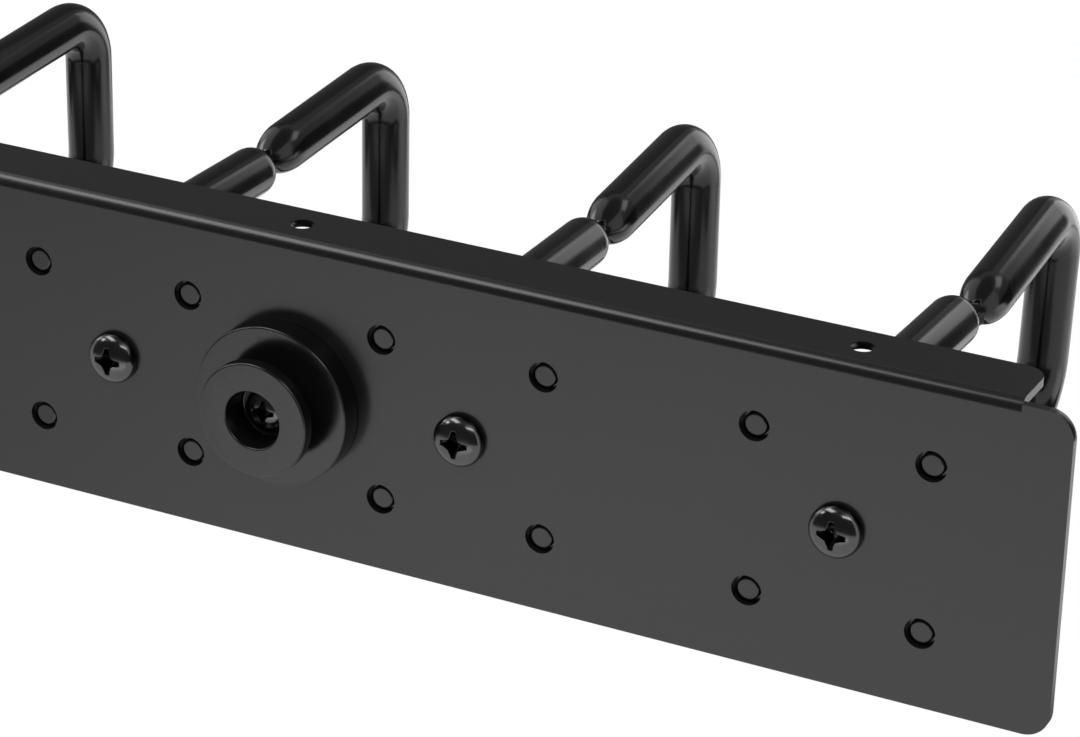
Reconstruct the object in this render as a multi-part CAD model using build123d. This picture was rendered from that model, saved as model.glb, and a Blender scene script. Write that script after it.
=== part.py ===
from build123d import *
import math
import os

# Zero-unit vertical cable manager for a server rack: a folded steel strip that hangs by two
# buttons in the keyhole slots of a rack upright and carries a row of split cable rings.
# Frame: +X runs along the strip, -Y points from the strip to the rack upright, +Z points to
# the folded flange. The origin lies midway between the buttons, in the plane where the
# upright's sheet seats against the button discs, on the line of the ring screws.

# Row of rings
ring_count = 8
ring_pitch = 44.45
end_margin = 24.75

# Folded strip
sheet = 1.0
fold_inner_radius = 0.4
ring_line_to_free_edge = 18.4
ring_line_to_flange = 19.3
ring_line_to_ear_top = 18.8
flange_depth = 8.3
flange_setback = 5.7
strip_corner_radius = 3.0
flange_corner_radius = 2.5
flange_hole_radius = 1.3
flange_hole_from_face = 4.3

# Split ring, one moulding with its pad, pegs and screw boss
ring_bar_radius = 3.0
ring_bend_radius = 5.7
ring_reach = 63.6
lower_leg_level = 12.6
stub_level = 12.4
arm_slope = 2.6
split_from_face = 33.6
split_gap = 0.6
tip_height = 2.9
tip_profile = [(0.0, 3.0), (1.2, 2.85), (2.1, 2.35), (2.7, 1.5), (2.9, 0.7)]
nub_radius = 0.8
nub_length = 0.45
pad_width = 26.0
pad_height = 31.0
pad_thickness = 4.0
pad_corner_cut = 2.0
boss_radius = 4.0
boss_length = 5.0
peg_radius = 1.4
peg_recess = 0.4
peg_span_along = 19.8
peg_span_across = 19.4
peg_hole_clearance = 0.35

# Flats that stand for a round on the pieces that repeat, which keeps their faces few
bar_sides = 12
small_round_sides = 10
bend_steps = 7

# Ring screw, pan head with a cross recess
ring_screw_radius = 1.45
ring_screw_length = 8.0
ring_screw_head_radius = 3.0
ring_screw_head_height = 1.9
ring_screw_head_dome = 0.9
ring_screw_cross_width = 0.9
ring_screw_cross_span = 3.5
ring_screw_cross_depth = 1.1
ring_screw_hole_clearance = 0.25
thread_clearance = 0.05

# Mounting button, one turned spool with a counterbored hole
button_disc_radius = 9.5
button_disc_thickness = 3.0
button_neck_radius = 4.0
button_neck_length = 2.4
button_cap_radius = 6.75
button_cap_thickness = 1.6
button_counterbore_radius = 3.4
button_counterbore_depth = 3.8
button_pitches_from_end = 1.5

# Button screw and the nut behind the strip
button_screw_radius = 1.2
button_screw_head_radius = 2.2
button_screw_head_height = 1.6
button_screw_head_dome = 0.6
button_screw_cross_width = 0.7
button_screw_cross_span = 2.6
button_screw_cross_depth = 0.9
button_screw_hole_clearance = 0.2
button_screw_stand_out = 0.6
nut_across_flats = 5.0
nut_height = 2.0

# Places that follow from the sizes above
face_y = button_disc_thickness
rear_y = face_y + sheet
ring_places = [(i - (ring_count - 1) / 2) * ring_pitch for i in range(ring_count)]
strip_half_length = ring_places[-1] + end_margin
flange_half_length = strip_half_length - flange_setback
button_x = ring_places[-1] - button_pitches_from_end * ring_pitch
flange_hole_places = [-ring_places[-1], -button_x, button_x, ring_places[-1]]
peg_places = [
    (along * peg_span_along / 2, across * peg_span_across / 2)
    for along in (-1, 1)
    for across in (-1, 1)
]


def rod(x, z, radius, y_from, y_to):
    """A round solid along Y between two depths."""
    length = y_to - y_from
    return Pos(x, y_from + length / 2, z) * Rot(X=90) * Cylinder(radius, length)


def flat_sided_rod(x, z, radius, y_from, y_to, sides=small_round_sides):
    """A many-sided solid along Y between two depths, with its corners at the radius."""
    return Pos(x, y_to, z) * Rot(X=90) * extrude(RegularPolygon(radius, sides), y_to - y_from)


def tip_loop(plane, height, radius):
    """The corners of one many-sided section of a domed tip, at a height above its plane."""
    corners = []
    for step in range(bar_sides):
        angle = math.radians(360 / bar_sides * step)
        corner = Vector(radius * math.cos(angle), radius * math.sin(angle), height)
        corners.append(plane.from_local_coords(corner))
    return corners


def rounded_tip(plane):
    """The domed end of a ring bar on its section plane, closed by flat faces."""
    loops = [tip_loop(plane, height, radius) for height, radius in tip_profile]
    faces = [Face(Wire.make_polygon(loops[0], close=True)), Face(Wire.make_polygon(loops[-1], close=True))]
    for lower, upper in zip(loops, loops[1:]):
        for here in range(bar_sides):
            there = (here + 1) % bar_sides
            faces.append(Face(Wire.make_polygon([lower[here], lower[there], upper[there], upper[here]], close=True)))
    return Solid(Shell(faces))


def bend(centre_y, centre_z, from_angle, to_angle):
    """Points along a quarter bend of the ring's centre line, as depth and height."""
    turns = [
        math.radians(from_angle + (to_angle - from_angle) * step / bend_steps)
        for step in range(bend_steps + 1)
    ]
    return [
        (
            centre_y + ring_bend_radius * math.cos(turn),
            centre_z + ring_bend_radius * math.sin(turn),
        )
        for turn in turns
    ]


def cross_recess(x, z, width, span, y_from, depth):
    """The crossed slots of a screw head, cut inwards from y_from."""
    centre = Pos(x, y_from + depth / 2, z)
    return centre * (Box(span, depth, width) + Box(width, depth, span))


def pan_screw(x, z, seat_y, shank, length, head, height, dome, cross):
    """A pan-head screw whose head stands towards -Y from its seat."""
    top_y = seat_y - height
    body = flat_sided_rod(x, z, head, top_y, seat_y)
    body = chamfer(body.faces().sort_by(Axis.Y)[0].edges(), dome)
    width, span, depth = cross
    body -= cross_recess(x, z, width, span, top_y, depth)
    return body + flat_sided_rod(x, z, shank, seat_y, seat_y + length)


def strip():
    """The folded sheet with its flange, corner ears and every hole."""
    outer = fold_inner_radius + sheet
    section = make_face(
        Polyline(
            (face_y, -ring_line_to_free_edge),
            (face_y, ring_line_to_flange),
            (face_y + flange_depth, ring_line_to_flange),
            (face_y + flange_depth, ring_line_to_flange - sheet),
            (rear_y, ring_line_to_flange - sheet),
            (rear_y, -ring_line_to_free_edge),
            close=True,
        )
    )
    corners = section.vertices()
    section = fillet(corners.sort_by_distance((face_y, ring_line_to_flange, 0))[0], outer)
    corners = section.vertices()
    inner_corner = (rear_y, ring_line_to_flange - sheet, 0)
    section = fillet(corners.sort_by_distance(inner_corner)[0], fold_inner_radius)
    folded = Pos(X=-flange_half_length) * extrude(Plane.YZ * section, 2 * flange_half_length)
    rear_corners = folded.edges().filter_by(Axis.Z).group_by(Axis.Y)[-1]
    folded = fillet(rear_corners, flange_corner_radius)

    height = ring_line_to_free_edge + ring_line_to_ear_top
    middle = (ring_line_to_ear_top - ring_line_to_free_edge) / 2
    plate = Pos(0, face_y + sheet / 2, middle) * Box(2 * strip_half_length, sheet, height)
    plate = fillet(plate.edges().filter_by(Axis.Y), strip_corner_radius)
    above_flange = Pos(0, face_y + sheet / 2, ring_line_to_flange)
    fold_room = Box(2 * flange_half_length, sheet, 2 * outer)
    body = (plate - above_flange * fold_room) + folded

    cuts = [
        flat_sided_rod(x + along, across, peg_radius + peg_hole_clearance, face_y, rear_y)
        for x in ring_places
        for along, across in peg_places
    ]
    ring_hole = ring_screw_radius + ring_screw_hole_clearance
    cuts += [flat_sided_rod(x, 0, ring_hole, face_y, rear_y) for x in ring_places]
    button_hole = button_screw_radius + button_screw_hole_clearance
    cuts += [flat_sided_rod(x, 0, button_hole, face_y, rear_y) for x in (-button_x, button_x)]
    cuts += [
        Pos(x, face_y + flange_hole_from_face, ring_line_to_flange - sheet / 2)
        * Cylinder(flange_hole_radius, sheet)
        for x in flange_hole_places
    ]
    return body - cuts


def split_ring(x):
    """One cable ring: pad with pegs and boss, lower leg, outer bar and the split upper leg."""
    root_y = rear_y + pad_thickness / 2
    split_y = face_y + split_from_face
    stub_end = split_y - split_gap / 2 - tip_height
    arm_end = split_y + split_gap / 2 + tip_height

    slope = math.radians(arm_slope)
    bend_y = face_y + ring_reach - ring_bend_radius
    arm_root_y = bend_y - ring_bend_radius * math.sin(slope)
    arm_root_z = stub_level + (arm_root_y - arm_end) * math.tan(slope)
    lower_bend_z = ring_bend_radius - lower_leg_level
    upper_bend_z = arm_root_z - ring_bend_radius * math.cos(slope)
    route = Polyline(
        (root_y, -lower_leg_level),
        *bend(bend_y, lower_bend_z, -90, 0),
        *bend(bend_y, upper_bend_z, 0, 90 + arm_slope),
        (arm_end, stub_level),
    )
    section = RegularPolygon(ring_bar_radius, bar_sides)
    root = Plane(origin=(0, root_y, -lower_leg_level), x_dir=(1, 0, 0), z_dir=(0, 1, 0))
    bar = sweep(root * section, path=Plane.YZ * route, transition=Transition.RIGHT)
    arm_end_plane = Plane(
        origin=(0, arm_end, stub_level),
        x_dir=(1, 0, 0),
        z_dir=(0, -math.cos(slope), -math.sin(slope)),
    )
    stub_end_plane = Plane(origin=(0, stub_end, stub_level), x_dir=(1, 0, 0), z_dir=(0, 1, 0))
    stub = flat_sided_rod(0, stub_level, ring_bar_radius, root_y, stub_end, bar_sides)
    nub_start = split_y + split_gap / 2 - nub_length
    nub = flat_sided_rod(0, stub_level, nub_radius, nub_start, arm_end)

    pad = Pos(0, root_y, 0) * Box(pad_width, pad_thickness, pad_height)
    pad = chamfer(pad.edges().filter_by(Axis.Y), pad_corner_cut)
    boss_y = rear_y + pad_thickness + boss_length
    boss = flat_sided_rod(0, 0, boss_radius, rear_y, boss_y)
    pegs = [
        flat_sided_rod(along, across, peg_radius, face_y + peg_recess, rear_y)
        for along, across in peg_places
    ]
    tips = [rounded_tip(arm_end_plane), rounded_tip(stub_end_plane)]
    body = pad + boss + pegs + stub + bar + tips + nub
    thread_depth = face_y + ring_screw_length + thread_clearance
    body -= flat_sided_rod(0, 0, ring_screw_radius + thread_clearance, rear_y, thread_depth)
    return Pos(X=x) * body


def ring_screw(x):
    """The pan-head screw that holds one ring to the strip."""
    cross = (ring_screw_cross_width, ring_screw_cross_span, ring_screw_cross_depth)
    return pan_screw(
        x, 0, face_y, ring_screw_radius, ring_screw_length,
        ring_screw_head_radius, ring_screw_head_height, ring_screw_head_dome, cross,
    )


def mount_button(x):
    """The spool that hangs in a keyhole slot: disc, neck, cap and counterbored hole."""
    cap_y = -button_neck_length
    front_y = cap_y - button_cap_thickness
    profile = make_face(
        Polyline(
            (0, front_y),
            (button_cap_radius, front_y),
            (button_cap_radius, cap_y),
            (button_neck_radius, cap_y),
            (button_neck_radius, 0),
            (button_disc_radius, 0),
            (button_disc_radius, face_y),
            (0, face_y),
            close=True,
        )
    )
    spool = Pos(X=x) * revolve(profile, axis=Axis.Y)
    bore = button_screw_radius + button_screw_hole_clearance
    hole = flat_sided_rod(x, 0, bore, front_y, face_y)
    seat_y = front_y + button_counterbore_depth
    return spool - hole - rod(x, 0, button_counterbore_radius, front_y, seat_y)


def button_screw(x):
    """The small pan-head screw sunk in a button's counterbore."""
    seat_y = -button_neck_length - button_cap_thickness + button_counterbore_depth
    end_y = rear_y + nut_height + button_screw_stand_out
    cross = (button_screw_cross_width, button_screw_cross_span, button_screw_cross_depth)
    return pan_screw(
        x, 0, seat_y, button_screw_radius, end_y - seat_y,
        button_screw_head_radius, button_screw_head_height, button_screw_head_dome, cross,
    )


def button_nut(x):
    """The hexagon nut behind the strip that takes a button's screw."""
    corner_radius = nut_across_flats / math.sqrt(3)
    nut = flat_sided_rod(x, 0, corner_radius, rear_y, rear_y + nut_height, 6)
    bore = button_screw_radius + thread_clearance
    return nut - flat_sided_rod(x, 0, bore, rear_y, rear_y + nut_height)


def all_nodes():
    """Every node's name with its solid."""
    nodes = {"strip": strip()}
    for number, x in enumerate(ring_places, start=1):
        nodes[f"ring_{number:02d}"] = split_ring(x)
        nodes[f"ring_screw_{number:02d}"] = ring_screw(x)
    for side, x in (("left", -button_x), ("right", button_x)):
        nodes[f"mount_button_{side}"] = mount_button(x)
        nodes[f"button_screw_{side}"] = button_screw(x)
        nodes[f"button_nut_{side}"] = button_nut(x)
    return nodes


os.makedirs("parts", exist_ok=True)
for name, solid in all_nodes().items():
    export_step(solid, f"parts/{name}.step")
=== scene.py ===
import bpy
import bmesh
import math
from mathutils import Matrix, Vector


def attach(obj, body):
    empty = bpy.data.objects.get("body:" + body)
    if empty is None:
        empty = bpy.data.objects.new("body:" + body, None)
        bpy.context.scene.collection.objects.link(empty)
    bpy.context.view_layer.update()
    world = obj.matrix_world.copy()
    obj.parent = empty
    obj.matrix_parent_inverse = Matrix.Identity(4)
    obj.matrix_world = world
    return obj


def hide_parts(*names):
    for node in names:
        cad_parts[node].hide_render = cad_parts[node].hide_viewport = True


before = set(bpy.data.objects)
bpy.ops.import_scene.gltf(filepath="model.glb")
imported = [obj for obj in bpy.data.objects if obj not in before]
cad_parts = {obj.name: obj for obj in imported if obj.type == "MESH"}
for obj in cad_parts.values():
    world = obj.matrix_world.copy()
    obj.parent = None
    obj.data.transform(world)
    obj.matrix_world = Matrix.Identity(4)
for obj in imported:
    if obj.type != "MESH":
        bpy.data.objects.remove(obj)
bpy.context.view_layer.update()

mm = 0.001
samePoint = 1e-7             # points nearer than this are one, m
print("frame loaded:", len(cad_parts), "nodes")


# helpers that all pieces share

def addPiece(name, data, material=None):
    piece = bpy.data.objects.new(name, data)
    bpy.context.scene.collection.objects.link(piece)
    if material is not None:
        data.materials.clear()
        data.materials.append(material)
    return piece


def smoothByAngle(mesh, degrees):
    mesh.shade_smooth()
    mesh.set_sharp_from_angle(angle=math.radians(degrees))


def evaluatedMesh(piece, name):
    graph = bpy.context.evaluated_depsgraph_get()
    graph.update()
    mesh = bpy.data.meshes.new_from_object(piece.evaluated_get(graph), depsgraph=graph)
    mesh.name = name
    return mesh


def bakeModifiers(piece):
    mesh = evaluatedMesh(piece, piece.name)
    piece.modifiers.clear()
    piece.data = mesh
    return piece


def addBevel(piece, look):
    # look is the piece's own dictionary
    bevel = piece.modifiers.new("softEdges", "BEVEL")
    bevel.width = look["edgeSoftness"] * mm
    bevel.segments = look["edgeSteps"]
    bevel.limit_method = "ANGLE"
    bevel.angle_limit = math.radians(look["edgeAngle"])
    bevel.harden_normals = False


def keepFlat(piece):
    # large faces keep their own direction beside rounded edges
    flat = piece.modifiers.new("flatFaces", "WEIGHTED_NORMAL")
    flat.mode = "FACE_AREA"
    flat.weight = 100
    flat.keep_sharp = True
    return bakeModifiers(piece)


def cutFrom(piece, cutterMesh):
    cutter = addPiece("cutter", cutterMesh)
    cut = piece.modifiers.new("cut", "BOOLEAN")
    cut.operation = "DIFFERENCE"
    cut.solver = "EXACT"
    cut.object = cutter
    bakeModifiers(piece)
    bpy.data.objects.remove(cutter)


def meshFrom(builder, name):
    work = bmesh.new()
    builder(work)
    bmesh.ops.recalc_face_normals(work, faces=work.faces)
    mesh = bpy.data.meshes.new(name)
    work.to_mesh(mesh)
    work.free()
    return mesh


def weld(mesh, distance):
    # merges close points and takes out the faces that have no area left
    work = bmesh.new()
    work.from_mesh(mesh)
    bmesh.ops.remove_doubles(work, verts=work.verts, dist=distance)
    bmesh.ops.dissolve_degenerate(work, edges=work.edges, dist=distance / 4)
    work.to_mesh(mesh)
    work.free()


def lathe(work, profile, steps, place):
    # profile lists (radius, height along -Y) from one end to the other, and a radius of 0 closes an end
    rings = []
    for radius, height in profile:
        if radius < samePoint:
            rings.append([work.verts.new(place @ Vector((0, -height, 0)))])
            continue
        ring = []
        for step in range(steps):
            turn = 2 * math.pi * step / steps
            spot = Vector((radius * math.cos(turn), -height, radius * math.sin(turn)))
            ring.append(work.verts.new(place @ spot))
        rings.append(ring)
    for near, far in zip(rings, rings[1:]):
        for step in range(steps):
            after = (step + 1) % steps
            if len(near) == 1:
                work.faces.new((near[0], far[after], far[step]))
            elif len(far) == 1:
                work.faces.new((near[step], near[after], far[0]))
            else:
                work.faces.new((near[step], near[after], far[after], far[step]))


# materials: a noise is (scale, detail, roughness), a bump (strength, height in m)

noiseSpan = (0.3, 0.7)       # most of a noise lies between these


def newMaterial(name):
    material = bpy.data.materials.new(name)
    material.use_nodes = True
    tree = material.node_tree
    shader = tree.nodes["Principled BSDF"]
    coords = tree.nodes.new("ShaderNodeTexCoord")
    return material, tree, shader, coords


def addNoise(tree, coords, scale, detail, roughness):
    noise = tree.nodes.new("ShaderNodeTexNoise")
    noise.inputs["Scale"].default_value = scale
    noise.inputs["Detail"].default_value = detail
    noise.inputs["Roughness"].default_value = roughness
    tree.links.new(coords.outputs["Object"], noise.inputs["Vector"])
    return noise


def addRoughness(tree, shader, noise, low, high):
    spread = tree.nodes.new("ShaderNodeMapRange")
    spread.inputs["From Min"].default_value = noiseSpan[0]
    spread.inputs["From Max"].default_value = noiseSpan[1]
    spread.inputs["To Min"].default_value = low
    spread.inputs["To Max"].default_value = high
    tree.links.new(noise.outputs["Fac"], spread.inputs["Value"])
    tree.links.new(spread.outputs["Result"], shader.inputs["Roughness"])


def addBump(tree, shader, noise, strength, distance, under=None):
    bump = tree.nodes.new("ShaderNodeBump")
    bump.inputs["Strength"].default_value = strength
    bump.inputs["Distance"].default_value = distance
    tree.links.new(noise.outputs["Fac"], bump.inputs["Height"])
    if under is not None:
        tree.links.new(under.outputs["Normal"], bump.inputs["Normal"])
    tree.links.new(bump.outputs["Normal"], shader.inputs["Normal"])
    return bump


def addColour(tree, shader, noise, dark, light):
    mix = tree.nodes.new("ShaderNodeMix")
    mix.data_type = "RGBA"
    mix.inputs[6].default_value = (*dark, 1.0)     # colour A
    mix.inputs[7].default_value = (*light, 1.0)    # colour B
    tree.links.new(noise.outputs["Fac"], mix.inputs["Factor"])
    tree.links.new(mix.outputs[2], shader.inputs["Base Color"])


coatLook = {
    "dark": (0.009, 0.009, 0.0091), "light": (0.012, 0.012, 0.0121), "roughness": (0.24, 0.27),
    "blotch": (60.0, 3.0, 0.6), "grain": (2600.0, 2.0, 0.5), "peel": (420.0, 2.0, 0.5),
    "grainBump": (0.03, 0.00001), "peelBump": (0.06, 0.00002),
}


def makePowderCoat():
    look = coatLook
    material, tree, shader, coords = newMaterial("powderCoat")
    blotch = addNoise(tree, coords, *look["blotch"])
    grain = addNoise(tree, coords, *look["grain"])
    peel = addNoise(tree, coords, *look["peel"])
    addColour(tree, shader, blotch, look["dark"], look["light"])
    addRoughness(tree, shader, grain, *look["roughness"])
    fine = addBump(tree, shader, grain, *look["grainBump"])
    addBump(tree, shader, peel, *look["peelBump"], fine)
    return material


glossLook = {
    "dark": (0.004, 0.004, 0.0042), "light": (0.006, 0.006, 0.0063), "roughness": (0.16, 0.20),
    "specular": 0.46,
    "blotch": (90.0, 3.0, 0.6), "wave": (160.0, 2.0, 0.4), "waveBump": (0.06, 0.0001),
}


def makeGlossNylon():
    look = glossLook
    material, tree, shader, coords = newMaterial("glossNylon")
    blotch = addNoise(tree, coords, *look["blotch"])
    wave = addNoise(tree, coords, *look["wave"])
    addColour(tree, shader, blotch, look["dark"], look["light"])
    addRoughness(tree, shader, wave, *look["roughness"])
    shader.inputs["Specular IOR Level"].default_value = look["specular"]
    addBump(tree, shader, wave, *look["waveBump"])
    return material


satinLook = {
    "dark": (0.005, 0.005, 0.0051), "light": (0.007, 0.007, 0.0071), "roughness": (0.17, 0.22),
    "blotch": (120.0, 3.0, 0.6), "grain": (1800.0, 2.0, 0.5), "grainBump": (0.06, 0.00002),
}


def makeSatinNylon():
    look = satinLook
    material, tree, shader, coords = newMaterial("satinNylon")
    blotch = addNoise(tree, coords, *look["blotch"])
    grain = addNoise(tree, coords, *look["grain"])
    addColour(tree, shader, blotch, look["dark"], look["light"])
    addRoughness(tree, shader, grain, *look["roughness"])
    addBump(tree, shader, grain, *look["grainBump"])
    return material


blackScrewLook = {
    "dark": (0.075, 0.075, 0.076), "light": (0.11, 0.11, 0.112), "roughness": (0.12, 0.22),
    "blotch": (500.0, 3.0, 0.6), "blotchBump": (0.10, 0.00006),
}

zincLook = {
    "dark": (0.40, 0.41, 0.42), "light": (0.52, 0.52, 0.53), "roughness": (0.25, 0.40),
    "blotch": (700.0, 4.0, 0.6), "blotchBump": (0.1, 0.00005),
}


def makeMetal(name, look):
    material, tree, shader, coords = newMaterial(name)
    blotch = addNoise(tree, coords, *look["blotch"])
    addColour(tree, shader, blotch, look["dark"], look["light"])
    addRoughness(tree, shader, blotch, *look["roughness"])
    shader.inputs["Metallic"].default_value = 1.0
    addBump(tree, shader, blotch, *look["blotchBump"])
    return material


powderCoat = makePowderCoat()
glossNylon = makeGlossNylon()
satinNylon = makeSatinNylon()
blackScrew = makeMetal("blackScrew", blackScrewLook)
zincNut = makeMetal("zincNut", zincLook)
print("materials made")


# the row tree repeats a piece along the strip, with a bar swept along a line where one is given

barSides = 40                # flats around a ring's round bar


def buildRowTree():
    tree = bpy.data.node_groups.new("rowAlongStrip", "GeometryNodeTree")
    socket = tree.interface.new_socket
    socket(name="Geometry", in_out="INPUT", socket_type="NodeSocketGeometry")
    socket(name="Count", in_out="INPUT", socket_type="NodeSocketInt")
    socket(name="First place", in_out="INPUT", socket_type="NodeSocketFloat")
    socket(name="Pitch", in_out="INPUT", socket_type="NodeSocketFloat")
    socket(name="Bar line", in_out="INPUT", socket_type="NodeSocketObject")
    socket(name="Bar radius", in_out="INPUT", socket_type="NodeSocketFloat")
    socket(name="Finish", in_out="INPUT", socket_type="NodeSocketMaterial")
    socket(name="Geometry", in_out="OUTPUT", socket_type="NodeSocketGeometry")
    node = tree.nodes.new
    link = tree.links.new
    start = node("NodeGroupInput")
    end = node("NodeGroupOutput")
    line = node("GeometryNodeObjectInfo")
    circle = node("GeometryNodeCurvePrimitiveCircle")
    radius = node("GeometryNodeInputRadius")
    sweep = node("GeometryNodeCurveToMesh")
    together = node("GeometryNodeJoinGeometry")
    first = node("ShaderNodeCombineXYZ")
    offset = node("ShaderNodeCombineXYZ")
    places = node("GeometryNodeMeshLine")
    copies = node("GeometryNodeInstanceOnPoints")
    real = node("GeometryNodeRealizeInstances")
    finish = node("GeometryNodeSetMaterial")
    circle.inputs["Resolution"].default_value = barSides
    sweep.inputs["Fill Caps"].default_value = True
    link(start.outputs["Bar line"], line.inputs["Object"])
    link(start.outputs["Bar radius"], circle.inputs["Radius"])
    link(line.outputs["Geometry"], sweep.inputs["Curve"])
    link(circle.outputs["Curve"], sweep.inputs["Profile Curve"])
    link(radius.outputs["Radius"], sweep.inputs["Scale"])    # the line's own radius thins the bar at its tips
    link(sweep.outputs["Mesh"], together.inputs["Geometry"])
    link(start.outputs["Geometry"], together.inputs["Geometry"])
    link(start.outputs["Count"], places.inputs["Count"])
    link(start.outputs["First place"], first.inputs["X"])
    link(start.outputs["Pitch"], offset.inputs["X"])
    link(first.outputs["Vector"], places.inputs["Start Location"])
    link(offset.outputs["Vector"], places.inputs["Offset"])
    link(places.outputs["Mesh"], copies.inputs["Points"])
    link(together.outputs["Geometry"], copies.inputs["Instance"])
    link(copies.outputs["Instances"], real.inputs["Geometry"])
    link(real.outputs["Geometry"], finish.inputs["Geometry"])
    link(start.outputs["Finish"], finish.inputs["Material"])
    link(finish.outputs["Geometry"], end.inputs["Geometry"])
    return tree


rowTree = buildRowTree()


def repeatAlongStrip(name, seedMesh, finish, look, barLine=None, barRadius=1.0):
    # look gives the row's count and pitch and the angle from which an edge stays sharp
    pitch = look["pitch"] * mm
    seed = addPiece(name + "Seed", seedMesh)
    modifier = seed.modifiers.new("row", "NODES")
    modifier.node_group = rowTree
    values = {
        "Count": look["count"],
        "First place": -(look["count"] - 1) / 2 * pitch,
        "Pitch": pitch,
        "Bar line": barLine,
        "Bar radius": barRadius * mm,
        "Finish": finish,
    }
    for item in rowTree.interface.items_tree:
        if item.item_type == "SOCKET" and item.in_out == "INPUT" and item.name in values:
            if values[item.name] is not None:
                modifier[item.identifier] = values[item.name]
    mesh = evaluatedMesh(seed, name)
    bpy.data.objects.remove(seed)
    smoothByAngle(mesh, look["sharpAngle"])
    return addPiece(name, mesh)


# strip, in mm and degrees

stripLook = {
    "edgeSoftness": 0.30, "edgeSteps": 3, "edgeAngle": 40,
    "mergeDistance": 0.001,  # joins the solid's loose triangles
    "flatAngle": 1.0,        # triangles within this are one face
    "count": 8, "pitch": 44.45, "sharpAngle": 40,
    "holeSides": 48,
    "pegHoleRadius": 1.76, "pegHoleStart": 5.0, "pegHoleLength": 3.0,
    "pegSpanAlong": 19.8, "pegSpanAcross": 19.4,
    "flangeHoles": (-155.575, -88.9, 88.9, 155.575), "flangeHoleY": 7.3, "flangeTop": 19.3,
    "flangeHoleRadius": 1.31, "breakOutRadius": 1.6,
    # depths below the flange's top at which a hole's cutter starts, begins to widen, is wide and ends
    "flangeHoleLevels": (-1.0, 0.35, 1.05, 2.0),
}


def cutHoles(piece):
    look = stripLook

    def pegHoles(work):
        radius = look["pegHoleRadius"] * mm
        length = look["pegHoleLength"] * mm
        start = look["pegHoleStart"] * mm
        profile = [(0, 0), (radius, 0), (radius, length), (0, length)]
        for x in (-0.5, 0.5):
            for z in (-0.5, 0.5):
                spot = (x * look["pegSpanAlong"] * mm, start, z * look["pegSpanAcross"] * mm)
                lathe(work, profile, look["holeSides"], Matrix.Translation(Vector(spot)))

    row = repeatAlongStrip("pegHoles", meshFrom(pegHoles, "pegHoles"), powderCoat, look)
    mesh = row.data
    bpy.data.objects.remove(row)
    cutFrom(piece, mesh)

    def flangeHoles(work):
        # punched from above: a clean hole that breaks out wider underneath
        tip = Matrix.Rotation(math.pi / 2, 4, "X")
        straight = look["flangeHoleRadius"] * mm
        wide = look["breakOutRadius"] * mm
        start, clean, broken, end = (level * mm for level in look["flangeHoleLevels"])
        profile = [(0, start), (straight, start), (straight, clean), (wide, broken), (wide, end), (0, end)]
        for x in look["flangeHoles"]:
            spot = (x * mm, look["flangeHoleY"] * mm, look["flangeTop"] * mm)
            lathe(work, profile, look["holeSides"], Matrix.Translation(Vector(spot)) @ tip)

    cutFrom(piece, meshFrom(flangeHoles, "flangeHoles"))


def makeStrip():
    look = stripLook
    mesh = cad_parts["strip"].data.copy()
    work = bmesh.new()
    work.from_mesh(mesh)
    bmesh.ops.remove_doubles(work, verts=work.verts, dist=look["mergeDistance"] * mm)
    flat = math.radians(look["flatAngle"])
    bmesh.ops.dissolve_limit(work, angle_limit=flat, verts=work.verts, edges=work.edges)
    work.to_mesh(mesh)
    work.free()
    piece = addPiece("foldedStrip", mesh, powderCoat)
    cutHoles(piece)
    piece.data.shade_smooth()
    addBevel(piece, look)
    return keepFlat(piece)


strip = makeStrip()
print("strip made")


# rings, in mm and degrees: levels from the line of the ring screws, depths from where the upright seats

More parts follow.
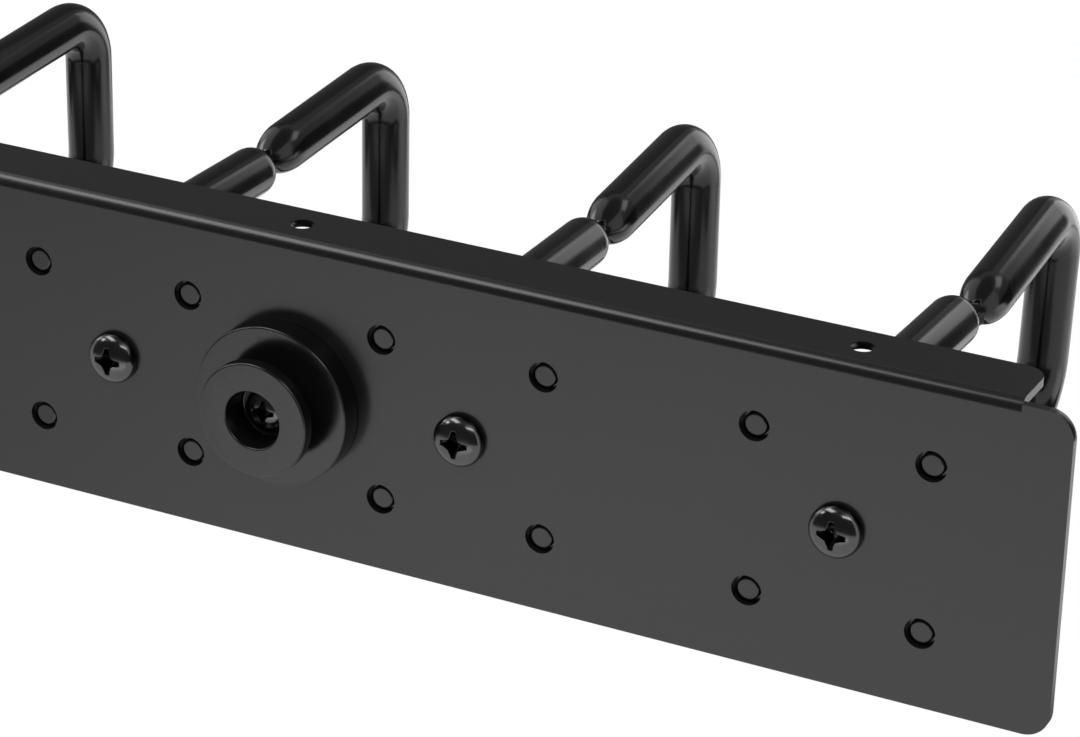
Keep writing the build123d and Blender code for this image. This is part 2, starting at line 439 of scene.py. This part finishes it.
ringLook = {
    "count": 8, "pitch": 44.45, "sharpAngle": 40,
    "face": 3.0,             # front face of the strip
    "rear": 4.0,             # its rear face, on which the pads sit
    "barRadius": 3.0,
    "barRoot": 2.0,          # how deep a bar ends inside its pad
    "bendRadius": 5.7, "lowBendRadius": 7.6, "bendSteps": 16,
    "reach": 63.6,           # outer bar's centre line behind the front face
    "armLevel": 12.6, "armSlope": 2.6,
    "stubLevel": 12.4,
    "split": 33.6,           # middle of the split behind the front face
    "splitGap": 0.6,
    "tipSteps": 12,
    "tipFace": 0.16,         # share of the bar's radius that is flat at a tip
    "tipDepth": 4.6,
    "tipRise": -1.2,         # how far the arm's tip sits above the arm's middle line
    "tipSlant": 1.2,         # how far the top of an arm's tip stands back from its middle
    "slantReach": 1.5,       # how far the slant runs along the arm, in tip depths
    "stubTipDepth": 2.9,
    # the moulding's gate mark, a low round nub with a dimple, at (aside, above) the arm's middle
    "nubPlace": (0.15, 0.7), "nubSides": 24,
    "nubRadius": 0.65, "nubRoot": 0.8, "nubLength": 0.35,
    "nubEdge": 0.15, "nubDimple": 0.2, "nubShares": (0.8, 0.55, 0.35),
    # pad, the boss that takes the ring's screw, and the four pegs in the strip's holes
    "padHalfWidth": 13.0, "padHalfHeight": 15.5, "padThickness": 4.0, "padCut": 2.0,
    "bossReach": 9.0, "bossLength": 5.6, "bossRadius": 4.0, "bossEdge": 0.3, "bossSides": 40,
    "pegAlong": 9.9, "pegAcross": 9.7, "pegRoot": 0.5, "pegRecess": 0.4, "pegRadius": 1.4, "pegSides": 32,
    "pegEnd": ((1.4, 0.25), (1.32, 0.08), (1.15, 0.0), (1.05, 0.0)),    # radius, distance from the end
    # how far single rings lean along the strip at the (upper, lower) outer end, and how far arms flex
    # (sideways, up) at the split
    "leans": {7: (-1.3, -1.2), 8: (0.45, -0.15)},
    "armFlex": {7: (0.5, -0.3), 8: (1.3, -0.35)},
    "armRest": (0.05, -0.2),     # what the arms of the other rings do
    "stubDroop": 0.5,
    "leanFrom": 12.0,        # depth behind which a ring leans
    "flexLevel": 4.0,        # level above which arm and stub flex
    "flexStart": 0.6,        # how far in front of the split's middle the arm's part begins
    "stiffEnd": 4.0,         # length at the outer bar that the flex leaves alone
    "stubFrom": 10.0,        # depth behind which a stub droops
}


def tipPoints(start, along, depth, rise=0.0):
    # points and radius shares of a rounded tip, from its end towards the bar
    flat = ringLook["tipFace"]
    steps = ringLook["tipSteps"]
    points = []
    for step in range(steps + 1):
        turn = math.pi / 2 * step / steps
        size = flat + (1 - flat) * math.sin(turn)
        place = start + along * depth * (1 - math.cos(turn)) + Vector((0, 0, rise * (1 - size)))
        points.append((place, size))
    return points


def bendPoints(centre, radius, fromTurn, sweepTurn):
    # points of a bend around centre, which starts at fromTurn and sweeps down by sweepTurn
    steps = ringLook["bendSteps"]
    points = []
    for step in range(steps + 1):
        turn = fromTurn - sweepTurn * step / steps
        points.append((centre + Vector((0, radius * math.cos(turn), radius * math.sin(turn))), 1.0))
    return points


def makeBarLine():
    look = ringLook
    splitY = look["face"] + look["split"]
    outerY = look["face"] + look["reach"]
    rootY = look["rear"] + look["barRoot"]
    tilt = math.radians(look["armSlope"])
    slope = math.tan(tilt)
    armTip = Vector((0, splitY + look["splitGap"] / 2, look["armLevel"]))
    armAlong = Vector((0, 1, slope)).normalized()
    armOuterZ = look["armLevel"] + (outerY - splitY) * slope
    bar = tipPoints(armTip, armAlong, look["tipDepth"], look["tipRise"])
    # the upper bend turns from the arm's direction to straight down, the lower one on to level
    bend = look["bendRadius"]
    upperTurn = math.pi / 2 + tilt
    tangent = bend * math.tan(upperTurn / 2)
    corner = Vector((0, outerY, armOuterZ))
    bar += bendPoints(Vector((0, outerY - bend, corner.z - tangent)), bend, upperTurn, upperTurn)
    bend = look["lowBendRadius"]
    bar += bendPoints(Vector((0, outerY - bend, -look["armLevel"] + bend)), bend, 0.0, math.pi / 2)
    bar.append((Vector((0, rootY, -look["armLevel"])), 1.0))
    stubTip = Vector((0, splitY - look["splitGap"] / 2, look["stubLevel"]))
    stub = tipPoints(stubTip, Vector((0, -1, 0)), look["stubTipDepth"])
    stub.append((Vector((0, rootY, look["stubLevel"])), 1.0))
    curve = bpy.data.curves.new("barLine", "CURVE")
    curve.dimensions = "3D"
    for points in (bar, stub):
        spline = curve.splines.new("POLY")
        spline.points.add(len(points) - 1)
        for point, (place, size) in zip(spline.points, points):
            point.co = (*(place * mm), 1.0)
            point.radius = size
    return addPiece("barLine", curve)


def addBlock(work, low, high, cut):
    # a block whose four corners seen from the front are cut
    (x0, y0, z0), (x1, y1, z1) = low, high
    outline = [
        (x0 + cut, z0), (x1 - cut, z0), (x1, z0 + cut), (x1, z1 - cut),
        (x1 - cut, z1), (x0 + cut, z1), (x0, z1 - cut), (x0, z0 + cut),
    ]
    front = [work.verts.new((x * mm, y0 * mm, z * mm)) for x, z in outline]
    back = [work.verts.new((x * mm, y1 * mm, z * mm)) for x, z in outline]
    work.faces.new(front)
    work.faces.new(list(reversed(back)))
    for here in range(len(outline)):
        after = (here + 1) % len(outline)
        work.faces.new((front[here], back[here], back[after], front[after]))


def addFoot(work):
    # pad, boss and pegs of one ring
    look = ringLook
    low = (-look["padHalfWidth"], look["rear"], -look["padHalfHeight"])
    high = (look["padHalfWidth"], look["rear"] + look["padThickness"], look["padHalfHeight"])
    addBlock(work, low, high, look["padCut"])
    place = Matrix.Translation(Vector((0, (look["rear"] + look["bossReach"]) * mm, 0)))
    radius = look["bossRadius"]
    edge = look["bossEdge"]
    length = look["bossLength"]
    boss = [(0, 0), (radius - edge, 0), (radius, edge), (radius, length), (0, length)]
    lathe(work, [(r * mm, h * mm) for r, h in boss], look["bossSides"], place)
    length = look["rear"] + look["pegRoot"] - look["face"] - look["pegRecess"]
    end = [(radius, length - back) for radius, back in look["pegEnd"]]
    peg = [(0, 0), (look["pegRadius"], 0)] + end + [(0, length)]
    for x in (-look["pegAlong"], look["pegAlong"]):
        for z in (-look["pegAcross"], look["pegAcross"]):
            place = Matrix.Translation(Vector((x * mm, (look["rear"] + look["pegRoot"]) * mm, z * mm)))
            lathe(work, [(r * mm, h * mm) for r, h in peg], look["pegSides"], place)


def addNub(work):
    look = ringLook
    tip = look["face"] + look["split"] + look["splitGap"] / 2
    aside, above = look["nubPlace"]
    spot = (aside * mm, (tip + look["nubRoot"]) * mm, (look["armLevel"] + above) * mm)
    radius = look["nubRadius"] * mm
    reach = (look["nubRoot"] + look["nubLength"]) * mm
    edge = look["nubEdge"] * mm
    dimple = look["nubDimple"] * mm
    rim, lip, floor = look["nubShares"]
    profile = [
        (0, 0), (radius, 0), (radius, reach - edge), (radius * rim, reach),
        (radius * lip, reach), (radius * floor, reach - dimple), (0, reach - dimple),
    ]
    lathe(work, profile, look["nubSides"], Matrix.Translation(Vector(spot)))


def held(share):
    # keeps a share between 0 and 1
    return min(max(share, 0.0), 1.0)


def flexRings(mesh):
    look = ringLook
    pitch = look["pitch"] * mm
    first = -(look["count"] - 1) / 2 * pitch
    outer = (look["face"] + look["reach"]) * mm
    split = (look["face"] + look["split"]) * mm
    leanFrom = look["leanFrom"] * mm
    flexLevel = look["flexLevel"] * mm
    flexStart = look["flexStart"] * mm
    stiffEnd = look["stiffEnd"] * mm
    stubFrom = look["stubFrom"] * mm
    slantReach = look["slantReach"] * look["tipDepth"] * mm
    for vertex in mesh.vertices:
        number = round((vertex.co.x - first) / pitch) + 1
        upperLean, lowerLean = look["leans"].get(number, (0.0, 0.0))
        height = held(vertex.co.z / (2 * look["armLevel"] * mm) + 0.5)
        lean = (lowerLean + (upperLean - lowerLean) * height) * mm
        along = held((vertex.co.y - leanFrom) / (outer - leanFrom))
        vertex.co.x += lean * along * along * (3 - 2 * along)    # eases in and out
        sideways, up = look["armFlex"].get(number, look["armRest"])
        if vertex.co.z > flexLevel and vertex.co.y > split - flexStart:
            loose = held((outer - stiffEnd - vertex.co.y) / (outer - stiffEnd - split))
            above = held((vertex.co.z / mm - look["armLevel"]) / look["barRadius"])
            near = held(1 - (vertex.co.y - split) / slantReach)
            vertex.co.x += sideways * mm * loose
            vertex.co.y += look["tipSlant"] * mm * above * near
            vertex.co.z += up * mm * loose
        elif vertex.co.z > flexLevel and vertex.co.y > stubFrom:
            loose = (vertex.co.y - stubFrom) / (split - stubFrom)
            vertex.co.z -= look["stubDroop"] * mm * loose


def makeRings():
    look = ringLook

    def build(work):
        addFoot(work)
        addNub(work)

    mesh = meshFrom(build, "ringFoot")
    line = makeBarLine()
    rings = repeatAlongStrip("cableRings", mesh, glossNylon, look, line, look["barRadius"])
    bpy.data.objects.remove(line)
    flexRings(rings.data)
    return rings


rings = makeRings()
print("rings made:", len(rings.data.polygons), "faces")


# screws, in mm and degrees

ringScrewLook = {
    "count": 8, "pitch": 44.45, "sharpAngle": 35,
    "underHead": 3.0, "headRadius": 3.0, "headHeight": 1.9, "shankRadius": 1.45, "length": 8.0,
    "slotWidth": 0.9, "slotSpan": 3.5, "slotDepth": 1.7,
    "edgeSoftness": 0.04, "edgeSteps": 1, "edgeAngle": 50,
}

buttonScrewLook = {
    "count": 2, "pitch": 177.8, "sharpAngle": 35,
    "underHead": -0.2, "headRadius": 2.6, "headHeight": 1.6, "shankRadius": 1.2, "length": 6.6,
    "slotWidth": 0.8, "slotSpan": 2.9, "slotDepth": 1.3,
    "edgeSoftness": 0.03, "edgeSteps": 1, "edgeAngle": 50,
}

# what both kinds share, as shares of their own sizes where no length is named
screwForm = {
    "sides": 64, "domeSteps": 24,
    "domeFullness": 0.9,     # 1 is a round dome, less is fuller
    "sideHeight": 0.26,      # straight side under the dome
    "underEdge": (0.95, 0.08),
    "endRadius": 0.8, "endLength": 0.5,
    "crossLift": 0.3,        # how far the cross is cut above the head, mm
    "crossGrow": (1.06, 1.0, 0.55),      # size above the head, at its top and at the floor
    "crossRoot": 1.35, "crossArm": (0.62, 0.92), "crossEnd": 0.62,
    "weldDistance": 0.01,
}


def makeScrewMesh(name, look):
    form = screwForm
    radius = look["headRadius"] * mm
    height = look["headHeight"] * mm
    base = Matrix.Translation(Vector((0, look["underHead"] * mm, 0)))

    def buildBody(work):
        shank = look["shankRadius"]
        length = look["length"]
        side = form["sideHeight"]
        edgeRadius, edgeHeight = form["underEdge"]
        profile = [
            (0, -length * mm), (shank * form["endRadius"] * mm, -length * mm),
            (shank * mm, -(length - form["endLength"]) * mm), (shank * mm, 0.0),
            (radius * edgeRadius, 0.0), (radius, height * edgeHeight), (radius, height * side),
        ]
        for step in range(1, form["domeSteps"]):
            turn = math.pi / 2 * step / form["domeSteps"]
            across = radius * math.cos(turn) ** form["domeFullness"]
            profile.append((across, height * (side + (1 - side) * math.sin(turn))))
        profile.append((0, height))
        lathe(work, profile, form["sides"], base)

    def buildCross(work):
        # a four-pointed cross, wide at the top and narrow at its floor
        half = look["slotWidth"] / 2 * mm
        span = look["slotSpan"] / 2 * mm
        root = half * form["crossRoot"]
        armAlong, armHalf = form["crossArm"]
        endHalf = half * form["crossEnd"]
        quarter = [
            (root, -root), (span * armAlong, -half * armHalf), (span, -endHalf),
            (span, endHalf), (span * armAlong, half * armHalf),
        ]
        levels = (height + form["crossLift"] * mm, height, height - look["slotDepth"] * mm)
        loops = []
        for level, grow in zip(levels, form["crossGrow"]):
            corners = []
            for turn in range(4):
                c = math.cos(turn * math.pi / 2)
                s = math.sin(turn * math.pi / 2)
                for x, z in quarter:
                    spot = Vector(((x * c - z * s) * grow, -level, (x * s + z * c) * grow))
                    corners.append(work.verts.new(base @ spot))
            loops.append(corners)
        work.faces.new(loops[0])
        work.faces.new(list(reversed(loops[-1])))
        for upper, lower in zip(loops, loops[1:]):
            for here in range(len(upper)):
                after = (here + 1) % len(upper)
                work.faces.new((upper[here], lower[here], lower[after], upper[after]))

    piece = addPiece(name + "Body", meshFrom(buildBody, name + "Body"))
    cutFrom(piece, meshFrom(buildCross, name + "Cross"))
    weld(piece.data, form["weldDistance"] * mm)
    addBevel(piece, look)
    mesh = evaluatedMesh(piece, name)
    bpy.data.objects.remove(piece)
    return mesh


def makeScrews(name, look):
    return repeatAlongStrip(name, makeScrewMesh(name, look), blackScrew, look)


ringScrews = makeScrews("ringScrews", ringScrewLook)
buttonScrews = makeScrews("buttonScrews", buttonScrewLook)
print("screws made")


# hanging buttons and their nuts, in mm and degrees

buttonLook = {
    "count": 2, "pitch": 177.8, "sharpAngle": 35, "sides": 96,
    "face": 3.0,             # front face of the strip
    "discRadius": 9.5, "discThickness": 3.0,
    "neckRadius": 4.0, "neckLength": 2.4,
    "capRadius": 6.75, "capThickness": 1.6,
    "wellRadius": 3.4, "wellDepth": 3.8, "boreRadius": 1.4,
    "edgeSoftness": 0.22, "edgeSteps": 3, "edgeAngle": 40,
}


def makeButtons():
    look = buttonLook
    back = 0.0
    disc = look["discThickness"]
    neck = look["discThickness"] + look["neckLength"]
    cap = look["discThickness"] + look["neckLength"] + look["capThickness"]
    well = cap - look["wellDepth"]
    profile = [
        (look["boreRadius"], back),
        (look["discRadius"], back),
        (look["discRadius"], disc),
        (look["neckRadius"], disc),
        (look["neckRadius"], neck),
        (look["capRadius"], neck),
        (look["capRadius"], cap),
        (look["wellRadius"], cap),
        (look["wellRadius"], well),
        (look["boreRadius"], well),
        (look["boreRadius"], back),
    ]
    place = Matrix.Translation(Vector((0, look["face"] * mm, 0)))

    def build(work):
        lathe(work, [(r * mm, h * mm) for r, h in profile], look["sides"], place)
        bmesh.ops.remove_doubles(work, verts=work.verts, dist=samePoint)

    piece = addPiece("buttonSeed", meshFrom(build, "buttonSeed"))
    addBevel(piece, look)
    soft = evaluatedMesh(piece, "buttonSoft")
    bpy.data.objects.remove(piece)
    return keepFlat(repeatAlongStrip("hangingButtons", soft, satinNylon, look))


nutLook = {
    "count": 2, "pitch": 177.8, "sharpAngle": 30,
    "rear": 4.0,             # rear face of the strip
    "acrossFlats": 5.0, "height": 2.0,
    "edgeHeight": 0.2, "edgeShare": 0.93,
    "boreRadius": 1.25, "flatParts": 4,  # parts of the bore's rim for each flat
}


def makeNuts():
    look = nutLook
    flats = 6
    parts = look["flatParts"]
    boreSides = flats * parts
    high = look["height"]
    corner = look["acrossFlats"] / 2 / math.cos(math.pi / flats)
    edge = look["edgeHeight"]
    share = look["edgeShare"]

    def addRim(work, radius, level, sides):
        rim = []
        for step in range(sides):
            turn = math.pi / (sides / 2) * step
            x = radius * math.cos(turn) * mm
            z = radius * math.sin(turn) * mm
            rim.append(work.verts.new((x, (look["rear"] + level) * mm, z)))
        return rim

    def build(work):
        levels = ((0.0, share), (edge, 1.0), (high - edge, 1.0), (high, share))
        loops = [addRim(work, corner * size, level, flats) for level, size in levels]
        holes = [addRim(work, look["boreRadius"], level, boreSides) for level in (0.0, high)]
        for near, far in zip(loops, loops[1:]):
            for here in range(flats):
                after = (here + 1) % flats
                work.faces.new((near[here], near[after], far[after], far[here]))
        for loop, hole in ((loops[0], holes[0]), (loops[-1], holes[1])):
            for here in range(flats):
                after = (here + 1) % flats
                arc = [hole[(here * parts + part) % boreSides] for part in range(parts + 1)]
                work.faces.new([loop[here], loop[after]] + list(reversed(arc)))
        for here in range(boreSides):
            after = (here + 1) % boreSides
            work.faces.new((holes[0][here], holes[0][after], holes[1][after], holes[1][here]))

    return repeatAlongStrip("buttonNuts", meshFrom(build, "nutSeed"), zincNut, look)


buttons = makeButtons()
nuts = makeNuts()
print("buttons and nuts made")


# which nodes each finished piece stands for

rows = range(1, ringLook["count"] + 1)
sides = ("left", "right")
dressing = [
    (strip, "strip", ["strip"]),
    (rings, "rings", [f"ring_{number:02d}" for number in rows]),
    (ringScrews, "screws", [f"ring_screw_{number:02d}" for number in rows]),
    (buttons, "buttons", [f"mount_button_{side}" for side in sides]),
    (buttonScrews, "screws", [f"button_screw_{side}" for side in sides]),
    (nuts, "nuts", [f"button_nut_{side}" for side in sides]),
]
for piece, slotName, nodeNames in dressing:
    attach(piece, "root")
    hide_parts(*nodeNames)
print("pieces dressed:", len(dressing))


# stage, light and camera, in metres and degrees

studio = {
    "middle": (0.10, 0.03, 0.0),
    "worldLight": 0.25,      # what the white surroundings give as light
    "floorLevel": -0.6, "floorHalf": 4.0, "floorGrey": 0.82, "floorRoughness": 0.9,
    # azimuth from +Y towards +X, elevation, distance, width, height, brightness
    "softboxes": {
        "leftSoftbox": (-88, 22, 1.0, 0.44, 0.30, 3.0),
        "topSoftbox": (44, 50, 0.6, 0.26, 0.18, 2.0),
        "rightSoftbox": (66, -8, 1.0, 0.60, 0.42, 0.9),
        "frontTopSoftbox": (-130, 54, 0.6, 0.40, 0.20, 4.5),
        "frontLeftSoftbox": (-121, 29, 0.6, 0.13, 0.11, 6.5),
        "frontRightSoftbox": (136, 42, 0.6, 0.42, 0.09, 5.5),
        "tableBounce": (-176, -36, 1.0, 1.0, 0.5, 0.7),
        "tableRight": (45, -36, 1.0, 1.0, 0.5, 0.3),
    },
    # cards around the table: brightness, distance and an outline of (azimuth, lowest, highest elevation)
    "cards": {
        "leftCard": (0.13, 0.90, [(-54, -19, 45), (-30, -19, 45), (-8, -19, 45)]),
        "leftFade": (0.50, 0.90, [(-8, -19, 18), (0, -19, 18)]),
        "leftFadeTop": (0.30, 0.90, [(-8, 18, 45), (10, 18, 45)]),
        "roofRim": (0.42, 0.90, [(-54, 45, 62), (-20, 44, 62), (10, 42, 62), (40, 42, 62), (78, 42, 62)]),
        "backGlow": (1.8, 0.88, [(-1, -20, 16), (5, -20, 25), (8, -20, 36), (13, -20, 35), (17, -20, 29),
                                 (21, -18, 25), (25, -12, 21), (30, -4, 11)]),
        "blackCard": (0.03, 0.90, [(14, -20, 18), (30, -20, 18), (46, -20, 18), (54, -12, 18), (64, -3, 18),
                                   (78, 5, 18)]),
        "greyCard": (0.30, 0.90, [(10, 18, 36), (30, 18, 36), (54, 18, 36), (78, 18, 36)]),
        "topCard": (0.42, 0.90, [(10, 36, 44), (30, 36, 44), (54, 36, 44), (78, 36, 44)]),
        "frontCard": (0.10, 0.90, [(-108, -15, 42), (-125, -15, 60), (-150, -15, 64), (-180, -15, 64),
                                   (-210, -15, 60), (-235, -15, 44), (-245, -15, 30)]),
    },
    # brightness, distance, elevation and number of corners
    "ceiling": (0.20, 0.90, 60, 8),
    # painted shade: a dark glowing sheet that stands in for the shaded ground just behind the strip, seen in
    # the gloss: brightness, middle, half width, half depth
    "shadeBehind": (0.24, (0.0, 0.020, -0.021), 0.185, 0.014),
}


def seenWhite(tree):
    # 1 for camera, glossy and transmission rays, 0 for the rays that light the object
    node = tree.nodes.new
    link = tree.links.new
    path = node("ShaderNodeLightPath")
    seen = node("ShaderNodeMath")
    seen.operation = "MAXIMUM"
    link(path.outputs["Is Camera Ray"], seen.inputs[0])
    link(path.outputs["Is Glossy Ray"], seen.inputs[1])
    both = node("ShaderNodeMath")
    both.operation = "MAXIMUM"
    link(seen.outputs[0], both.inputs[0])
    link(path.outputs["Is Transmission Ray"], both.inputs[1])
    return both


def makeWorld():
    world = bpy.data.worlds.new("studio")
    bpy.context.scene.world = world
    world.use_nodes = True
    tree = world.node_tree
    background = tree.nodes["Background"]
    background.inputs["Color"].default_value = (1, 1, 1, 1)
    seen = seenWhite(tree)
    level = tree.nodes.new("ShaderNodeMapRange")
    level.inputs["To Min"].default_value = studio["worldLight"]
    level.inputs["To Max"].default_value = 1.0
    tree.links.new(seen.outputs[0], level.inputs["Value"])
    tree.links.new(level.outputs["Result"], background.inputs["Strength"])


def towards(azimuth, elevation, distance):
    a, e = math.radians(azimuth), math.radians(elevation)
    along = Vector((math.sin(a) * math.cos(e), math.cos(a) * math.cos(e), math.sin(e)))
    return Vector(studio["middle"]) + along * distance


def facingMiddle(place):
    return (Vector(studio["middle"]) - place).to_track_quat("-Z", "Y")


def flatMesh(name, corners, faces):
    mesh = bpy.data.meshes.new(name)
    mesh.from_pydata([tuple(corner) for corner in corners], [], faces)
    return mesh


def makeFloor():
    half = studio["floorHalf"]
    level = studio["floorLevel"]
    grey = studio["floorGrey"]
    corners = [(-half, -half, level), (half, -half, level), (half, half, level), (-half, half, level)]
    material = bpy.data.materials.new("paleFloor")
    material.use_nodes = True
    tree = material.node_tree
    shader = tree.nodes["Principled BSDF"]
    shader.inputs["Base Color"].default_value = (grey, grey, grey, 1)
    shader.inputs["Roughness"].default_value = studio["floorRoughness"]
    glow = tree.nodes.new("ShaderNodeEmission")
    glow.inputs["Strength"].default_value = 1.0
    mix = tree.nodes.new("ShaderNodeMixShader")
    seen = seenWhite(tree)
    tree.links.new(seen.outputs[0], mix.inputs["Fac"])
    tree.links.new(shader.outputs["BSDF"], mix.inputs[1])
    tree.links.new(glow.outputs["Emission"], mix.inputs[2])
    tree.links.new(mix.outputs["Shader"], tree.nodes["Material Output"].inputs["Surface"])
    floor = addPiece("floor", flatMesh("floor", corners, [(0, 1, 2, 3)]), material)


def makeLamps():
    # the lamps named front... light all but the rings, whose tips would show them as sharp spots
    frontLit = bpy.data.collections.new("frontLit")
    for piece in (strip, ringScrews, buttons, buttonScrews, nuts):
        frontLit.objects.link(piece)
    for name, (azimuth, elevation, distance, width, height, brightness) in studio["softboxes"].items():
        light = bpy.data.lights.new(name, "AREA")
        light.shape = "RECTANGLE"
        light.size = width
        light.size_y = height
        light.energy = brightness * math.pi * width * height
        lamp = addPiece(name, light)
        lamp.location = towards(azimuth, elevation, distance)
        lamp.rotation_euler = facingMiddle(lamp.location).to_euler()
        lamp.visible_camera = False
        if name.startswith("front"):
            lamp.light_linking.receiver_collection = frontLit


def addCard(name, level, corners, faces):
    # a card shows in the object's gloss and shades the lamps behind it
    material = bpy.data.materials.new(name)
    material.use_nodes = True
    tree = material.node_tree
    glow = tree.nodes.new("ShaderNodeEmission")
    glow.inputs["Strength"].default_value = level
    tree.links.new(glow.outputs["Emission"], tree.nodes["Material Output"].inputs["Surface"])
    card = addPiece(name, flatMesh(name, corners, faces), material)
    card.visible_camera = False
    card.visible_diffuse = False


def makeCards():
    for name, (level, distance, outline) in studio["cards"].items():
        corners = []
        for azimuth, lowest, highest in outline:
            corners += [towards(azimuth, lowest, distance), towards(azimuth, highest, distance)]
        faces = [(2 * step, 2 * step + 2, 2 * step + 3, 2 * step + 1) for step in range(len(outline) - 1)]
        addCard(name, level, corners, faces)
    level, distance, elevation, count = studio["ceiling"]
    corners = [towards(360 / count * step, elevation, distance) for step in range(count)]
    addCard("ceiling", level, corners, [tuple(range(count))])
    # painted shade: a dark sheet in place of the shaded ground just behind the strip
    level, (x, y, z), halfWidth, halfDepth = studio["shadeBehind"]
    corners = [(x + a * halfWidth, y + b * halfDepth, z) for a, b in ((-1, -1), (1, -1), (1, 1), (-1, 1))]
    addCard("shadeBehind", level, corners, [(0, 1, 2, 3)])


camera = {
    "place": (0.285501, -0.330705, 0.181411),
    "right": (0.89217771, 0.4512273, 0.02031908),
    "up": (-0.2047103, 0.36383936, 0.9086884),
    "back": (0.40263213, -0.81487106, 0.41698024),
    "lens": 127.754, "sensor": 36.0,     # mm
    "clipStart": 0.01,
}


def makeCamera():
    data = bpy.data.cameras.new("camera")
    data.lens = camera["lens"]
    data.sensor_width = camera["sensor"]
    data.clip_start = camera["clipStart"]
    view = addPiece("camera", data)
    turn = Matrix((camera["right"], camera["up"], camera["back"])).transposed()
    view.matrix_world = Matrix.Translation(Vector(camera["place"])) @ turn.to_4x4()
    bpy.context.scene.camera = view


makeWorld()
makeFloor()
makeLamps()
makeCards()
makeCamera()
bpy.context.scene.view_settings.view_transform = "Standard"
print("stage, light and camera made")
